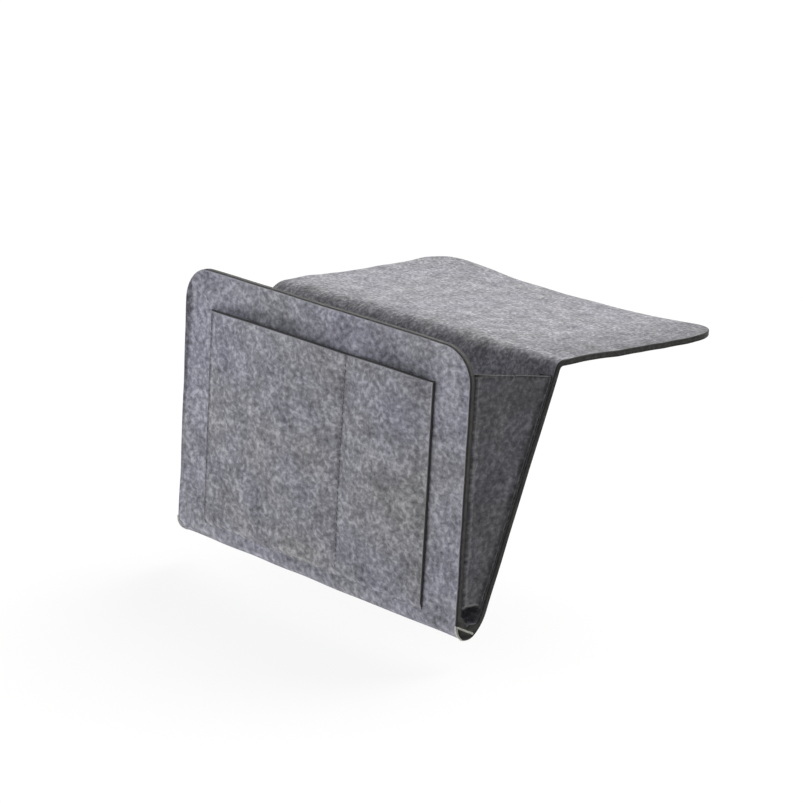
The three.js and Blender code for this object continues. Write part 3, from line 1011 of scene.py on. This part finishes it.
floor_drop = 25 * MM  # below the bottom fold
floor_reach = 8.0
floor_shade = 0.11  # how much the floor shows light and shadow, to the camera
floor_dim = (0.17, 0.17, 0.17)
floor_lit = (0.82, 0.82, 0.82)
aim = Vector((-0.00988, -0.01365, -0.0655))
camera_azimuth = radians(45.00)
camera_elevation = radians(15.91)
camera_roll = radians(3.22)
camera_distance = 2.3785
picture_side = 803  # pixels
focal_pixels = 3000
film_side = 36


def direction(azimuth, elevation):
    """The way from the caddy to a place at an azimuth and an elevation. Azimuth 0 is in front of the pouch
    and 90 degrees to its right."""
    level = cos(elevation)
    return Vector((sin(azimuth) * level, -cos(azimuth) * level, sin(elevation)))


def seen_directly(tree):
    """1 for rays from the camera, from mirrors and through glass, and 0 for light that falls on felt."""
    path = add(tree, "LightPath").outputs
    seen = combine(tree, "MAXIMUM", path["Is Camera Ray"], path["Is Glossy Ray"])
    return combine(tree, "MAXIMUM", seen, path["Is Transmission Ray"])


def make_floor():
    """A wide flat floor. It is pale to look at and throws little light back up."""
    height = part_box("bottom_fold")[0].z - floor_drop
    mesh = bpy.data.meshes.new("floor")
    quarters = ((-1, -1), (1, -1), (1, 1), (-1, 1))
    corners = [(x * floor_reach, y * floor_reach, height) for x, y in quarters]
    mesh.from_pydata(corners, [], [(0, 1, 2, 3)])
    material = bpy.data.materials.new("pale_floor")
    material.use_nodes = True
    tree = material.node_tree
    lit = add(tree, "BsdfDiffuse", {"Color": (*floor_lit, 1)})
    white = add(tree, "Emission", {"Color": (1, 1, 1, 1), "Strength": 1.0})
    pale = add(tree, "MixShader", {0: floor_shade, 1: white.outputs[0], 2: lit.outputs[0]})
    dim = add(tree, "BsdfDiffuse", {"Color": (*floor_dim, 1)})
    mixed = add(tree, "MixShader", {0: seen_directly(tree), 1: dim.outputs[0], 2: pale.outputs[0]})
    tree.links.new(mixed.outputs[0], tree.nodes["Material Output"].inputs["Surface"])
    mesh.materials.append(material)
    floor = bpy.data.objects.new("floor", mesh)
    floor.visible_shadow = False
    bpy.context.scene.collection.objects.link(floor)


def make_world(strength):
    """Even soft light, and plain white where it is seen directly."""
    world = bpy.data.worlds.new("studio")
    world.use_nodes = True
    tree = world.node_tree
    tree.nodes.clear()
    soft = add(tree, "Background", {"Color": (1, 1, 1, 1), "Strength": strength})
    white = add(tree, "Background", {"Color": (1, 1, 1, 1), "Strength": 1.0})
    mixed = add(tree, "MixShader", {0: seen_directly(tree), 1: soft.outputs[0], 2: white.outputs[0]})
    output = add(tree, "OutputWorld")
    tree.links.new(mixed.outputs[0], output.inputs[0])
    bpy.context.scene.world = world


def hang_lamp(name, kind, energy, azimuth, elevation, distance, colour):
    """A lamp at a distance from the aim, turned towards it. The angles are in degrees."""
    lamp = bpy.data.lights.new(name, kind)
    lamp.energy = energy
    lamp.color = colour
    holder = bpy.data.objects.new(name, lamp)
    towards = direction(radians(azimuth), radians(elevation))
    holder.rotation_euler = (-towards).to_track_quat("-Z", "Y").to_euler()
    holder.location = aim + towards * distance
    bpy.context.scene.collection.objects.link(holder)
    return lamp


def add_lamp(name, azimuth, elevation, spread, level, colour):
    """Soft light from far away. A face square to it takes level times full white."""
    lamp = hang_lamp(name, "SUN", pi * level, azimuth, elevation, 1.0, colour)
    lamp.angle = radians(spread)


def add_window(name, azimuth, elevation, distance, side, level, colour):
    """Soft light from a square window at a distance, which falls off across the caddy."""
    energy = pi * pi * distance * distance * level
    lamp = hang_lamp(name, "AREA", energy, azimuth, elevation, distance, colour)
    lamp.size = side


def make_camera():
    """The camera looks at the aim from its azimuth and elevation, rolled a little."""
    back = direction(camera_azimuth, camera_elevation)
    camera = bpy.data.cameras.new("camera")
    camera.sensor_width = film_side
    camera.lens = film_side * focal_pixels / picture_side
    holder = bpy.data.objects.new("camera", camera)
    turn = (-back).to_track_quat("-Z", "Y").to_matrix().to_4x4()
    place = Matrix.Translation(aim + back * camera_distance)
    holder.matrix_world = place @ turn @ Matrix.Rotation(camera_roll, 4, "Z")
    bpy.context.scene.collection.objects.link(holder)
    bpy.context.scene.camera = holder


def make_studio():
    """Soft light from above and behind, a cool window in front and light thrown up by the floor."""
    bpy.context.scene.view_settings.view_transform = "Standard"
    make_floor()
    make_world(strength=0.16)
    add_lamp("top", azimuth=180, elevation=48, spread=50, level=1.44, colour=(1, 0.99, 0.97))
    add_window(
        "front", azimuth=-35, elevation=15, distance=1.2, side=1.0, level=0.50, colour=(0.95, 0.965, 1)
    )
    add_lamp("from_floor", azimuth=-12, elevation=-62, spread=60, level=0.87, colour=(1, 0.99, 0.98))
    add_lamp("rear", azimuth=180, elevation=20, spread=50, level=0.3, colour=(1, 1, 1))
    make_camera()


def main():
    """Materials first, then each piece, then the studio."""
    groups = {"fibres": felt_fibres(), "cut": felt_cut(), "twist": thread_twist()}
    felts = {name: felt_material(name, groups, *look) for name, look in FELTS.items()}
    threads = {name: thread_material(name, groups, *look) for name, look in THREADS.items()}
    make_main_felt(felts["main_felt"], felts["flap_felt"])
    make_pocket(felts["pocket_felt"])
    make_gussets(felts["gusset_felt"])
    make_seams(threads["grey_thread"])
    make_tacks(threads["pale_thread"])
    make_studio()


main()
